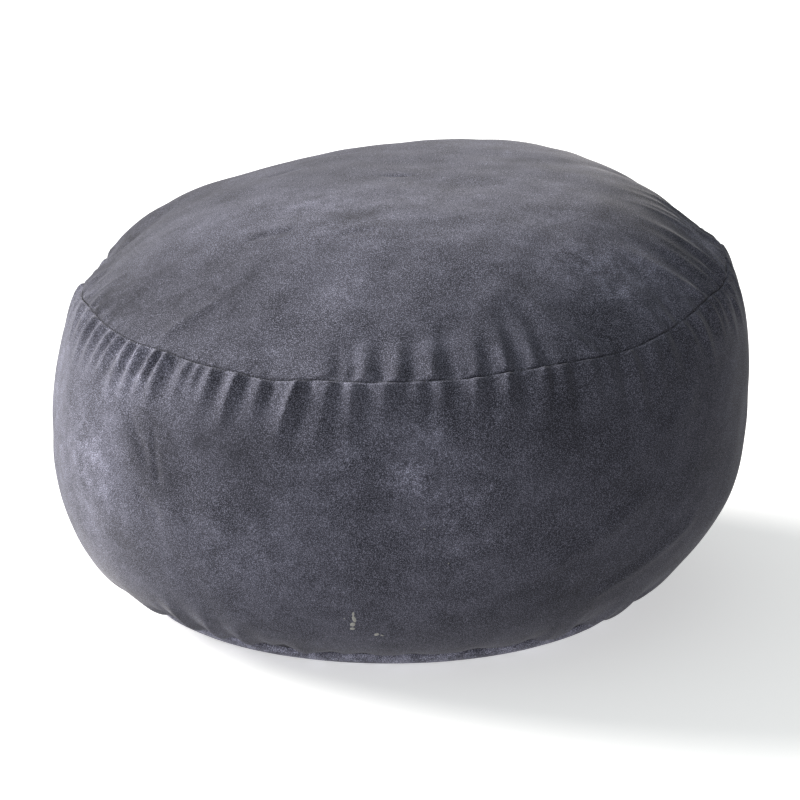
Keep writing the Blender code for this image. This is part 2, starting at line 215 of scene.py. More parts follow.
CROWN_FOLDS = [
    Fold(0.5, 2.8, 1.6, 120, -12),
    Fold(2, 9, 1.6, 150, 9),
    Fold(4, 3, 1.8, 130, -10),
    Fold(8, 3, 1.8, 120, -8),
    Fold(11, 9, -5.5, 170, 12),
    Fold(162, 9, 4, 110, -3),
    Fold(171.5, 9, -5, 110, -6),
    Fold(176, 3, 0.8, 60, 3),
    Fold(179.5, 8, 2.4, 60, -3),
    Fold(182, 3, 1, 60, 3),
    Fold(186, 7, -2.6, 50, -2),
    Fold(188, 3, 0.9, 60, 3),
    Fold(194, 7, -2.2, 45, -1),
    Fold(195, 3, 1, 60, 3),
    Fold(200.4, 4, 1.5, 35, -4),
    Fold(203, 4, 0.8, 25, -1.5),
    Fold(207, 4, 1, 22, -0.5),
    Fold(259.5, 5, -2.1, 42, -3),
    Fold(262, 4, -1.4, 38, -2),
    Fold(263.5, 4.5, 1.4, 45, -2),
    Fold(266.5, 5.5, -3, 58, -3.5),
    Fold(269, 5, 2.1, 50, -1.5),
    Fold(271.5, 5, -2.3, 50, -2),
    Fold(274.5, 5.5, 2.3, 50, -1.5),
    Fold(278, 5.5, -3, 60, -4),
    Fold(281.8, 5.5, 2.5, 55, -1.5),
    Fold(283.8, 4, -1.6, 45, -1.5),
    Fold(286.5, 5, 3.4, 55, -1.5),
    Fold(289, 6, -3.9, 75, -4),
    Fold(291.5, 4.5, 2.1, 45, -1),
    Fold(294, 6, -2.8, 75, -5),
    Fold(303, 5, 3.5, 100, -18),
    Fold(318, 6, 1.9, 90, -4.5),
    Fold(321, 4.5, 1.4, 50, -1.5),
    Fold(323.5, 6, -2.6, 75, -4.5),
    Fold(327.5, 5, 1.7, 60, -3.5),
    Fold(332.5, 5, 3.8, 105, -14),
    Fold(335, 5, -2.4, 80, -7),
    Fold(340, 5, 2.6, 95, -12),
    Fold(342, 4, -2.2, 70, -6),
    Fold(343.5, 5, 2.9, 95, -12),
    Fold(346, 4, -2.2, 70, -6),
    Fold(348.5, 5.5, 3.8, 105, -11),
    Fold(351.5, 5, -1.9, 70, -5),
    Fold(357.2, 2.6, 1.8, 130, -12),
]
BAND_BASE_FOLDS = [
    Fold(192, 8, -3.8, 60, 4),
    Fold(198.5, 8, 4.4, 75, 5),
    Fold(204.5, 7, -4.8, 60, 4),
    Fold(211, 7, 3.2, 50, 3),
    Fold(216.5, 6, -4.2, 50, 3),
    Fold(220.5, 4.5, -2.4, 80, 4),
    Fold(223.5, 4, 2.6, 85, 4),
    Fold(227, 4.5, -2.8, 80, 4),
    Fold(230.5, 4, 2.8, 80, 4),
    Fold(234, 4.5, -2.8, 75, 4),
    Fold(237.5, 4, 2.4, 70, 3),
    Fold(241, 5, -2.4, 65, 3),
    Fold(245.5, 7, -3.8, 40, 3),
    Fold(250.5, 6, 2.4, 35, 2),
    Fold(257, 6, -2, 28, 1),
    Fold(264, 7, -2.6, 30, 0),
    Fold(275, 7, -1.8, 26, 0),
    Fold(290, 8, -2.2, 30, -1),
    Fold(303, 7, -2.6, 48, -2),
    Fold(306, 4, 1.8, 70, -3),
    Fold(309, 8, 2.8, 59, -2),
    Fold(312.5, 4, -2.2, 75, -3),
    Fold(316, 8, -3.8, 70, -3),
    Fold(320.5, 4.5, 2.2, 80, -3),
    Fold(325, 8, 3.2, 77, -3),
    Fold(328.5, 4, -2, 80, -4),
    Fold(332, 7, -3.6, 70, -3),
    Fold(335, 4, 2, 80, -4),
    Fold(338.5, 8, 3, 70, -3),
]
BASE_FOLDS = [
    Fold(207, 9, -0.7, 22, 1),
    Fold(222, 9, -0.6, 20, 0),
    Fold(249, 10, -0.5, 20, 0),
    Fold(281, 12, 0.5, 22, 0),
    Fold(309, 9, -0.7, 22, 0),
    Fold(328, 9, -0.7, 22, 0),
]
BAND_LUMPS = [
    Lump(344, 0.32, 24, 0.20, 6.5),
    Lump(10, 0.58, 22, 0.25, -2.5),
    Lump(212, 0.14, 18, 0.12, 7),
    Lump(188, 0.62, 18, 0.24, -3),
    Lump(120, 0.45, 30, 0.25, 3),
    Lump(55, 0.35, 26, 0.25, -2.5),
]
CROWN_LUMPS = [
    Lump(155, 0.86, 13, 0.12, 6),
    Lump(136, 0.64, 22, 0.18, -3),
    Lump(100, 0.75, 16, 0.18, -3),
    Lump(62, 0.72, 22, 0.22, 3),
    Lump(28, 0.84, 16, 0.14, -5),
    Lump(4, 0.88, 10, 0.12, -4),
    Lump(250, 0.55, 40, 0.25, 2),
]
BAND_CREASES = [
    Crease((0.126, -0.250, 0.122), (0.190, -0.222, 0.161), 9, 1.8),
    Crease((0.162, -0.206, 0.078), (0.237, -0.164, 0.121), 8, 1.8),
    Crease((0.172, -0.239, 0.193), (0.230, -0.186, 0.232), 9, 1.7),
    Crease((-0.206, -0.210, 0.163), (-0.190, -0.224, 0.150), 3, -1.4),
    Crease((-0.213, -0.201, 0.226), (-0.199, -0.217, 0.196), 5, -1.6),
    Crease((-0.193, -0.222, 0.220), (-0.188, -0.226, 0.180), 4, -1.2),
    Crease((0.080, -0.272, 0.268), (0.076, -0.277, 0.160), 11, 2),
]
CROWN_CREASES = [
    Crease((-0.179, -0.187, 0.288), (-0.144, -0.180, 0.309), 5, 1.8),
    Crease((-0.115, -0.112, 0.344), (-0.087, -0.114, 0.350), 3.5, -1.5),
    Crease((-0.042, -0.136, 0.354), (-0.020, -0.136, 0.357), 3.5, -1.3),
    Crease((-0.110, 0.046, 0.357), (-0.090, 0.050, 0.360), 4, -1.2),
    Crease((-0.008, -0.003, 0.369), (0.005, -0.005, 0.370), 4, -1.2),
    Crease((-0.051, 0.094, 0.364), (-0.038, 0.096, 0.364), 4, -1.2),
]
# Brushed pile, with painted shade in the creases and over the shaded right side, and painted light down the
# lit left side.
BAND_NAP_AND_PAINTED_LIGHT = [
    NapAndPaintedLightPatch((0.125, -0.265, 0.245), 24, 40, -0.3),
    NapAndPaintedLightPatch((0.030, -0.290, 0.205), 32, 30, 0.4),
    NapAndPaintedLightPatch((-0.250, -0.120, 0.250), 50, 40, -0.2),
    NapAndPaintedLightPatch((-0.190, -0.225, 0.195), 30, 40, -0.7),
    NapAndPaintedLightPatch((-0.213, -0.200, 0.212), 14, 16, -0.4),
    NapAndPaintedLightPatch((-0.225, -0.181, 0.111), 18, 20, -0.5),
    NapAndPaintedLightPatch((-0.024, -0.290, 0.189), 14, 20, -0.5),
    NapAndPaintedLightPatch((0.032, -0.290, 0.204), 14, 10, -0.5),
    NapAndPaintedLightPatch((0.020, -0.290, 0.240), 34, 14, 0.4),
    NapAndPaintedLightPatch((0.008, -0.290, 0.203), 18, 16, 0.5),
    NapAndPaintedLightPatch((0.045, -0.280, 0.150), 40, 16, 0.3),
    NapAndPaintedLightPatch((-0.130, -0.260, 0.120), 60, 40, 0.3),
    NapAndPaintedLightPatch((-0.205, -0.190, 0.260), 40, 26, 0.5),
    NapAndPaintedLightPatch((-0.135, -0.255, 0.225), 34, 24, -0.7),
    NapAndPaintedLightPatch((-0.035, -0.290, 0.195), 26, 40, 0.3),
    NapAndPaintedLightPatch((0.050, -0.285, 0.190), 26, 30, 0.4),
    NapAndPaintedLightPatch((0.135, -0.225, 0.080), 80, 40, -0.4),
    NapAndPaintedLightPatch((-0.250, -0.160, 0.160), 40, 60, 0.3),
    NapAndPaintedLightPatch((-0.300, -0.050, 0.170), 70, 110, 0.35),
    NapAndPaintedLightPatch((0.290, 0.000, 0.170), 50, 110, -0.4),
    NapAndPaintedLightPatch((0.200, -0.220, 0.170), 110, 130, -0.4),
    NapAndPaintedLightPatch((-0.115, -0.270, 0.195), 24, 30, -0.3),
    NapAndPaintedLightPatch((-0.240, -0.160, 0.170), 50, 70, 0.25),
]
# Brushed pile, with painted shade in the small creases and over the crown's left and back rim, and painted
# light on its front right.
CROWN_NAP_AND_PAINTED_LIGHT = [
    NapAndPaintedLightPatch((-0.110, -0.112, 0.346), 12, 6, -0.5),
    NapAndPaintedLightPatch((-0.091, -0.116, 0.349), 10, 6, -0.5),
    NapAndPaintedLightPatch((-0.039, -0.104, 0.360), 12, 6, -0.5),
    NapAndPaintedLightPatch((-0.024, -0.101, 0.362), 10, 6, -0.4),
    NapAndPaintedLightPatch((-0.050, -0.154, 0.348), 10, 9, -0.4),
    NapAndPaintedLightPatch((-0.063, -0.170, 0.340), 10, 9, -0.3),
    NapAndPaintedLightPatch((-0.255, -0.005, 0.285), 40, 25, -0.5),
    NapAndPaintedLightPatch((0.210, -0.125, 0.325), 30, 25, 0.3),
    NapAndPaintedLightPatch((-0.230, -0.110, 0.295), 55, 40, -1.1),
    NapAndPaintedLightPatch((-0.140, -0.170, 0.315), 60, 40, -0.8),
    NapAndPaintedLightPatch((-0.200, 0.050, 0.325), 90, 40, -0.7),
    NapAndPaintedLightPatch((-0.030, 0.210, 0.325), 120, 40, -0.4),
    NapAndPaintedLightPatch((-0.240, 0.055, 0.295), 50, 30, -0.7),
    NapAndPaintedLightPatch((0.160, -0.165, 0.335), 45, 40, 0.6),
    NapAndPaintedLightPatch((0.255, -0.020, 0.320), 30, 40, 0.8),
    NapAndPaintedLightPatch((-0.060, 0.045, 0.365), 70, 40, -0.45),
    NapAndPaintedLightPatch((0.200, -0.030, 0.355), 40, 30, -0.4),
    NapAndPaintedLightPatch((0.120, 0.040, 0.370), 50, 30, -0.3),
    NapAndPaintedLightPatch((0.160, -0.165, 0.335), 40, 30, 0.2),
    NapAndPaintedLightPatch((-0.060, -0.070, 0.355), 60, 40, 0.3),
]
# Painted light: the base is painted paler all over, as if lit by the floor below.
BASE_PAINTED_LIGHT = 0.9
# Painted shade in a thin line on the crown's side of the top seam and on the band above the base seam, and
# a painted highlight on the band's lip below the top seam.
CROWN_SEAM_PAINTED_SHADE = -0.5
BAND_SEAM_PAINTED_HIGHLIGHT = 0.8
BAND_BASE_PAINTED_SHADE = -2.2
SEAM_PAINTED_LIGHT_WIDTH = 1.3 * MM
BASE_PAINTED_SHADE_WIDTH = 2.2 * MM
# How unevenly the pile of a panel lies
NAP_SWIRL = 18 * MM
CROWN_UNEVENNESS = 0.09
BAND_UNEVENNESS = 0.07
BASE_UNEVENNESS = 0.05
LINT = [
    Lint(263.4, 0.0810, 6.2, 1.8, 84),
    Lint(263.5, 0.0755, 8.8, 3.2, 96),
    Lint(263.2, 0.0690, 6.2, 4.2, 70),
    Lint(263.1, 0.0640, 4.5, 3.5, 20),
    Lint(267.4, 0.0570, 5.2, 3.5, 55),
    Lint(268.4, 0.0560, 3.2, 1.5, 150),
    Lint(274.1, 0.1640, 1.2, 0.9, 0),
    Lint(278.3, 0.1320, 1.2, 0.9, 40),
    Lint(261.8, 0.0750, 1.6, 1, 80),
]
# The velvet runs from its darkest pile to its lightest, as multiples of the pile's colour.
# Each share says how far along that run it moves the colour.
PLAIN_SHARE = 0.09
BRUSHED_SHARE = 0.05
SMUDGED_SHARE = 0.035
TUFT_SHARE = 0.95
TUFT_SPARSENESS = 2.0
SMUDGES_PER_PATCH = 4.5
DARKEST_PILE = 0.35
LIGHTEST_PILE = 3.3
TUFT_BUMP = 0.3
TUFT_HEIGHT = 0.25 * MM
PILE_ROUGHNESS = 0.85
PILE_SHINE = 0.1
# The hidden back has folds like those in front, and small puckers run all round.
BACK_BAND_COUNT = 34
BACK_CROWN_COUNT = 19
BACK_BAND_BASE_COUNT = 20
BACK_BASE_COUNT = 10
PUCKER_COUNT = 230
PUCKER_HALF_WIDTH_MM = 2.2
PUCKER_LENGTH_MM = 15
TOP_PUCKER_MM = 0.55
BAND_BASE_PUCKER_MM = 0.15
BASE_PUCKER_MM = 0.2
SWELL_WAVELENGTH = 0.045
BAND_JOIN_ANGLE = 90.0
BAND_JOIN_HALF_WIDTH = 2.2 * MM
BAND_JOIN_DEPTH = 1.6 * MM
# How far a thread follows the cloth into the seam
THREAD_SINKS = 0.62
LINT_HALF_THICKNESS = 0.35 * MM

# The studio
CAMERA_AIM = (0.0013, -0.0035, 0.17)
SENSOR_WIDTH_MM = 36.0
FLOOR_SIZE = 30.0
FLOOR_DROP = 0.3 * MM
FLOOR_EMISSION = 0.5
KEY_TINT = (1.0, 0.975, 0.94)
TOP_TINT = (0.95, 1.0, 1.0)
TOP_HEADING = math.radians(100)
TOP_HEIGHT = math.radians(78)
TOP_WIDTH = math.radians(80)
LEVEL_SKY = (1.0, 1.0, 1.0)
OVERHEAD_SKY = (0.93, 1.0, 0.99)
# Where one part of the surround gives way to the next, as the upright or sideways part of a direction
OVERHEAD_START, OVERHEAD_FULL = 0.15, 0.8
SIDE_FULL = 0.9
GLOW_START, GLOW_FULL = -0.05, 0.4
LIGHT_DISTANCE = 3.0


class PoufSizes(bpy.types.PropertyGroup):
    """Sizes of the sewing and the cloth's relief."""

    gather: bpy.props.FloatProperty(
        name="Gather",
        description="How strongly the folds at the seams stand out, as a share of their rises",
        default=1.0,
        min=0.0,
        max=3.0,
        subtype="FACTOR",
    )
    unevenness: bpy.props.FloatProperty(
        name="Unevenness",
        description="How far the filling pushes the cloth out here and there",
        default=0.3 * MM,
        min=0.0,
        unit="LENGTH",
    )
    stitch_pitch: bpy.props.FloatProperty(
        name="Stitch pitch",
        description="Distance from one stitch of a seam to the next",
        default=3.0 * MM,
        min=1 * MM,
        unit="LENGTH",
    )
    stitch_length: bpy.props.FloatProperty(
        name="Stitch length",
        description="How far a thread reaches across a seam",
        default=2.6 * MM,
        min=0.5 * MM,
        unit="LENGTH",
    )
    thread: bpy.props.FloatProperty(
        name="Thread",
        description="Thickness of the sewing thread",
        default=0.5 * MM,
        min=0.1 * MM,
        unit="LENGTH",
    )


class VelvetLook(bpy.types.PropertyGroup):
    """Colours and scale of the velvet."""

    pile: bpy.props.FloatVectorProperty(
        name="Pile",
        description="Colour of the velvet's pile",
        default=(0.080, 0.080, 0.1035),
        min=0.0,
        max=1.0,
        subtype="COLOR",
    )
    sheen_tint: bpy.props.FloatVectorProperty(
        name="Sheen tint",
        description="Colour of the light that the tips of the pile catch",
        default=(1.0, 0.98, 1.0),
        min=0.0,
        max=1.0,
        subtype="COLOR",
    )
    sheen: bpy.props.FloatProperty(
        name="Sheen",
        description="How much light the tips of the pile catch",
        default=0.22,
        min=0.0,
        max=1.0,
        subtype="FACTOR",
    )
    sheen_spread: bpy.props.FloatProperty(
        name="Sheen spread",
        description="How far the catch of light reaches from the pouf's edges towards its middle",
        default=0.38,
        min=0.0,
        max=1.0,
        subtype="FACTOR",
    )
    grain: bpy.props.FloatProperty(
        name="Grain",
        description="Width of one tuft of the pile",
        default=0.66 * MM,
        min=0.2 * MM,
        unit="LENGTH",
    )
    brushed: bpy.props.FloatProperty(
        name="Brushed patches",
        description="Width of a patch of pile that lies one way",
        default=55 * MM,
        min=5 * MM,
        unit="LENGTH",
    )


class StudioLook(bpy.types.PropertyGroup):
    """The camera and the lights."""

    camera_height: bpy.props.FloatProperty(
        name="Camera height",
        description="Angle at which the camera looks down",
        default=math.radians(19),
        unit="ROTATION",
    )
    camera_distance: bpy.props.FloatProperty(
        name="Camera distance",
        description="Distance from the camera to the point that it looks at",
        default=2.2,
        unit="LENGTH",
    )
    camera_lens: bpy.props.FloatProperty(
        name="Lens",
        description="Focal length in millimetres on a sensor 36 mm wide",
        default=114.35,
        min=10.0,
    )
    key_strength: bpy.props.FloatProperty(
        name="Key light",
        description="Strength of the wide light from the left",
        default=6.0,
        min=0.0,
    )
    key_heading: bpy.props.FloatProperty(
        name="Key heading",
        description="Where the wide light comes from, seen from above",
        default=math.radians(162),
        unit="ROTATION",
    )
    key_height: bpy.props.FloatProperty(
        name="Key height",
        description="How high the wide light stands",
        default=math.radians(29),
        unit="ROTATION",
    )
    key_width: bpy.props.FloatProperty(
        name="Key width",
        description="How wide the wide light looks from the pouf",
        default=math.radians(30),
        unit="ROTATION",
    )
    top_strength: bpy.props.FloatProperty(
        name="Top light",
        description="Strength of the soft light overhead",
        default=0.1,
        min=0.0,
    )
    surround_bright: bpy.props.FloatProperty(
        name="Surround on the bright side",
        description="Strength of the even white light from the left and the front",
        default=0.72,
        min=0.0,
    )
    surround_dark: bpy.props.FloatProperty(
        name="Surround on the dark side",
        description="Strength of the even white light from the right and the back",
        default=0.05,
        min=0.0,
    )
    surround_heading: bpy.props.FloatProperty(
        name="Surround heading",
        description="Where the bright side is, seen from above",
        default=math.radians(206),
        unit="ROTATION",
    )
    floor_glow: bpy.props.FloatProperty(
        name="Floor glow",
        description="Strength of the white light that the studio floor sends back up",
        default=0.30,
        min=0.0,
    )


def uneven_folds(first_deg, last_deg, count, half_width_mm, depth_mm, length_mm, seed):
    """Folds spread unevenly between two angles, in valleys and ridges by turns."""
    chance = np.random.default_rng(seed)
    step = (last_deg - first_deg) / count
    folds = []
    for i in range(count):
        angle = first_deg + (i + 0.5 + chance.uniform(-0.28, 0.28)) * step
        side = -1 if i % 2 == 0 else 0.75
        rise = side * depth_mm * chance.uniform(0.7, 1.3)
        width = half_width_mm * chance.uniform(0.85, 1.2)
        length = length_mm * chance.uniform(0.7, 1.4)
        folds.append(Fold(angle % 360, width, rise, length, chance.uniform(-2.5, 2.5)))
    return folds


# The hidden back's folds: first and last angle, count, half width, depth, length and seed
BAND_TOP_FOLDS += uneven_folds(-17, 192, BACK_BAND_COUNT, 4.5, 3.0, 44, seed=3)
CROWN_FOLDS += uneven_folds(18, 156, BACK_CROWN_COUNT, 8, 3.0, 80, seed=5)
BAND_BASE_FOLDS += uneven_folds(-17, 188, BACK_BAND_BASE_COUNT, 7, 3.2, 45, seed=8)
BASE_FOLDS += uneven_folds(-22, 196, BACK_BASE_COUNT, 9, 0.6, 20, seed=11)


def out(angle):
    """Unit vectors that point out from the axis, at angles in radians."""
    return np.stack([np.cos(angle), np.sin(angle), np.zeros_like(angle)], axis=-1)


def raised(heights):
    """Vectors straight up, by heights."""
    return np.stack([np.zeros_like(heights), np.zeros_like(heights), heights], axis=-1)


def degrees_apart(angle, angle_deg):
    """The signed difference from one angle in degrees, from -180 to 180."""
    return (np.degrees(angle) - angle_deg + 180) % 360 - 180


def top_seam(angle, wave_share):
    """Points on the seam between the crown and the band, which slopes a little and waves."""
    rise = TOP_SEAM_RISE_X * np.cos(angle) + TOP_SEAM_RISE_Y * np.sin(angle)
    for wave in TOP_SEAM_WAVES:
        across = degrees_apart(angle, wave.angle_deg) / wave.spread_deg
        rise = rise + wave_share * wave.rise_mm * MM * np.exp(-(across**2))
    centre = np.array([TOP_SEAM_X, TOP_SEAM_Y, TOP_SEAM_HEIGHT])
    return centre + TOP_SEAM_RADIUS * out(angle) + raised(rise)


def base_seam(angle):
    """Points on the seam between the band and the base, which is level and wider than deep."""
    radius = BASE_SEAM_RADIUS + BASE_SEAM_WIDER_X * np.cos(2 * angle)
    return np.array([BASE_SEAM_X, BASE_SEAM_Y, BASE_SEAM_HEIGHT]) + radius[..., None] * out(angle)


def crown_form(angle, along):
    """The plain crown: along is 0 at its top and 1 on the top seam."""
    share = along[..., None]
    top = np.array([TOP_SEAM_X, TOP_SEAM_Y, TOP_SEAM_HEIGHT])
    point = top + (top_seam(angle, along**4) - top) * share
    point = point + np.array([CROWN_SHIFT_X, 0.0, 0.0]) * (1 - share**2)
    return point + raised(CROWN_HEIGHT * (1 - along**CROWN_SHOULDER))


def band_form(angle, along):
    """The plain band: along is 0 on the base seam and 1 on the top seam, and it sags lowest on the left."""
    sag = BULGE_SAG - BULGE_SAG_RIGHT_LESS * np.cos(angle)
    swell = np.maximum(4 * along * (1 - along), 0.0) ** BULGE_FULLNESS * (1 - sag * (along - 0.5))
    low = base_seam(angle)
    high = top_seam(angle, along**2)
    return low + (high - low) * along[..., None] + BULGE * swell[..., None] * out(angle)


def base_form(angle, along):
    """The plain base: flat on the floor up to half way along, then rolling up to the base seam."""
    rim = base_seam(angle)
    middle = np.array([BASE_SEAM_X, BASE_SEAM_Y, 0.0])
    edge = rim * np.array([1.0, 1.0, 0.0]) - BASE_ROLL_WIDTH * out(angle)
    flat = middle + (edge - middle) * np.minimum(along * 2, 1.0)[..., None]
    roll = np.maximum(along - 0.5, 0.0) * math.pi
    side = BASE_ROLL_WIDTH * np.sin(roll)[..., None] * out(angle)
    return flat + side + raised(BASE_SEAM_HEIGHT * (1 - np.cos(roll)))


def normals_of(form, angle, along):
    """The outward directions of a plain form, from short steps along it and round it."""
    step = NORMAL_STEP
    along_it = form(angle, np.minimum(along + step, 1.0)) - form(angle, np.maximum(along - step, 0.0))
    held = np.maximum(along, step)
    round_it = form(angle + step, held) - form(angle - step, held)
    normal = np.cross(round_it, along_it)
    inside = form(angle, along) - np.array([0.0, 0.0, TOP_SEAM_HEIGHT / 2])
    normal = normal * np.sign((normal * inside).sum(axis=-1))[..., None]
    return normal / np.linalg.norm(normal, axis=-1)[..., None]


def folds_rise(folds, angle, radius, reach):
    """How far a seam's folds lift the cloth, at points that are reach away from that seam."""
    total = np.zeros_like(reach)
    for fold in folds:
        length = fold.length_mm * MM
        near = np.nonzero(reach < length)[0]
        share = reach[near] / length
        apart = degrees_apart(angle[near], fold.angle_deg + fold.lean_deg * share)
        width = fold.half_width_mm * MM * (1 + FOLD_SPREADS * share)
        across = np.abs(np.radians(apart) * radius[near] / width)
        total[near] += fold.rise_mm * MM * (1 - share**2) ** 2 * np.exp(-(across**FOLD_ROUNDNESS))
    return total * (1 - np.exp(-reach / FOLD_RISES_OVER))


def lumps_rise(lumps, angle, along):
    """How far the soft swellings and dents lift the cloth."""
    total = np.zeros_like(along)
    for lump in lumps:
        across = degrees_apart(angle, lump.angle_deg) / lump.spread_deg
        up = (along - lump.along) / lump.spread_along
        total += lump.rise_mm * MM * np.exp(-(across**2) - up**2)
    return total


def creases_rise(creases, points):
    """How far the short creases lift the cloth."""
    total = np.zeros(len(points))
    for crease in creases:
        start, end = np.array(crease.start), np.array(crease.end)
        line = end - start
        share = np.clip((points - start) @ line / (line @ line), 0.0, 1.0)
        away = np.linalg.norm(points - start - share[:, None] * line, axis=1)
        total += crease.rise_mm * MM * np.exp(-((away / (crease.half_width_mm * MM)) ** 2))
    return total


def ripples(points, wavelength, amount, seed, waves=20):
    """An uneven, seeded swell made of many flat waves that run in all directions."""
    chance = np.random.default_rng(seed)
    total = np.zeros(len(points))
    for _ in range(waves):
        heading = chance.normal(size=3)
        heading /= np.linalg.norm(heading)
        length = wavelength * chance.uniform(0.7, 1.7)
        total += np.sin(points @ heading * math.tau / length + chance.uniform(0, math.tau))
    return total * amount / math.sqrt(waves / 2)


def seam_tuck(angle, reach, tilt):
    """The turn of the cloth into a seam, along one direction that both of the seam's panels share."""
    inward = -(out(angle) + raised(np.full_like(angle, tilt)))
    inward /= np.linalg.norm(inward, axis=-1)[..., None]
    return inward * (SEAM_DEPTH * np.exp(-((reach / SEAM_ROLL) ** SEAM_ROLL_ROUNDNESS)))[..., None]


def reach_from(form, angle, along, seam_along):
    """How far each point of a plain form is from one of its seams, straight."""
    seam = form(angle, np.full_like(along, seam_along))
    return np.linalg.norm(form(angle, along) - seam, axis=-1)


def puckers(depth_mm, seed):
    """Small puckers, all round a seam, between its folds."""
    return uneven_folds(0, 360, PUCKER_COUNT, PUCKER_HALF_WIDTH_MM, depth_mm, PUCKER_LENGTH_MM, seed)


def crown_cloth(angle, along, sizes):
    """The crown's cloth with its folds, lumps and creases."""
    point = crown_form(angle, along)
    reach = reach_from(crown_form, angle, along, 1.0)
    radius = np.hypot(point[:, 0] - TOP_SEAM_X, point[:, 1] - TOP_SEAM_Y)
    rise = sizes.gather * folds_rise(CROWN_FOLDS + puckers(TOP_PUCKER_MM, 21), angle, radius, reach)
    settled = np.minimum(reach / LUMP_RISES_OVER, 1.0)
    rise += settled * lumps_rise(CROWN_LUMPS, angle, along)
    rise += settled * ripples(point, SWELL_WAVELENGTH, sizes.unevenness, seed=2)
    rise += creases_rise(CROWN_CREASES, point)
    point = point + rise[:, None] * normals_of(crown_form, angle, along)
    return point + seam_tuck(angle, reach, TOP_SEAM_TILT) + raised(SEAM_HALF_GAP * (along > 1 - ON_SEAM))


def band_cloth(angle, along, sizes):
    """The band's cloth with the folds of both of its seams, its lumps, creases and closing seam."""
    point = band_form(angle, along)
    top_reach = reach_from(band_form, angle, along, 1.0)
    base_reach = reach_from(band_form, angle, along, 0.0)
    radius = np.hypot(point[:, 0] - TOP_SEAM_X, point[:, 1] - TOP_SEAM_Y)
    rise = sizes.gather * folds_rise(BAND_TOP_FOLDS + puckers(TOP_PUCKER_MM, 22), angle, radius, top_reach)
    base_folds = BAND_BASE_FOLDS + puckers(BAND_BASE_PUCKER_MM, 23)
    rise += sizes.gather * folds_rise(base_folds, angle, radius, base_reach)
    shape = np.sin(math.pi * along)
    rise += shape * lumps_rise(BAND_LUMPS, angle, along)
    rise += shape * ripples(point, SWELL_WAVELENGTH, sizes.unevenness, seed=4)
    rise += creases_rise(BAND_CREASES, point)
    rise += SEAM_LIP * np.exp(-(((top_reach - SEAM_LIP_REACH) / SEAM_LIP_REACH) ** 2))
    apart = degrees_apart(angle, BAND_JOIN_ANGLE)
    across = np.radians(apart) * radius / BAND_JOIN_HALF_WIDTH
    rise -= BAND_JOIN_DEPTH * np.minimum(shape * 3, 1.0) * np.exp(-(across**2))
    point = point + rise[:, None] * normals_of(band_form, angle, along)
    point = point + seam_tuck(angle, top_reach, TOP_SEAM_TILT)
    point = point + seam_tuck(angle, base_reach, BASE_SEAM_TILT)
    return point - raised(SEAM_HALF_GAP * (along > 1 - ON_SEAM)) + raised(SEAM_HALF_GAP * (along < ON_SEAM))


def base_cloth(angle, along, sizes):
    """The base's cloth, flat where it is on the floor, with the folds of its rolled edge."""
    point = base_form(angle, along)
    reach = reach_from(base_form, angle, along, 1.0)
    radius = np.hypot(point[:, 0] - BASE_SEAM_X, point[:, 1] - BASE_SEAM_Y)
    rise = sizes.gather * folds_rise(BASE_FOLDS + puckers(BASE_PUCKER_MM, 24), angle, radius, reach)
    rise *= along > 0.5
    point = point + rise[:, None] * normals_of(base_form, angle, along)
    point = point + seam_tuck(angle, reach, BASE_SEAM_TILT) - raised(SEAM_HALF_GAP * (along > 1 - ON_SEAM))
    point[:, 2] = np.maximum(point[:, 2], 0.0)
    return point


def deselect_all():
    """Leaves nothing selected, so that an operator acts only on what it makes."""
    for other in bpy.context.selected_objects:
        other.select_set(False)


def row_places(rows, fine_start, fine_end):
    """Where a panel's rows lie, from 0 to 1, closer together at each end that is fine."""
    widths = np.ones(rows)
    growth = ROW_GROWTH ** np.arange(rows) * FINEST_ROW
    if fine_start:
        widths = np.minimum(widths, growth)
    if fine_end:
        widths = np.minimum(widths, growth[::-1])
    places = np.concatenate([[0.0], np.cumsum(widths)])
    return places / places[-1]


def select_points(mesh, chosen):
    """Selects the points of a mesh in edit mode, and the edges between them."""
    points = bmesh.from_edit_mesh(mesh)
    points.select_mode = {"VERT"}
    for vertex, wanted in zip(points.verts, chosen):
        vertex.select = bool(wanted)
    points.select_flush_mode()
    bmesh.update_edit_mesh(mesh)


def cloth_tube(name, columns, rows):
    """An open upright tube of radius 1, from height 0 to 1, with rows of faces along it."""
    deselect_all()
    bpy.ops.mesh.primitive_cylinder_add(
        vertices=columns, radius=1, depth=1, end_fill_type="NOTHING", location=(0, 0, 0.5)
    )
    tube = bpy.context.object
    tube.name = name
    bpy.ops.object.transform_apply(location=True, rotation=True, scale=True)
    bpy.ops.object.mode_set(mode="EDIT")
    points = bmesh.from_edit_mesh(tube.data)
    for edge in points.edges:
        low, high = edge.verts
        edge.select = abs(low.co.z - high.co.z) > 0.5
    bpy.ops.mesh.subdivide(number_cuts=rows - 1)
    bpy.ops.object.mode_set(mode="OBJECT")
    return tube


def mesh_points(mesh):
    """A mesh's points as an array."""
    places = np.empty(len(mesh.vertices) * 3)
    mesh.vertices.foreach_get("co", places)
    return places.reshape(-1, 3)


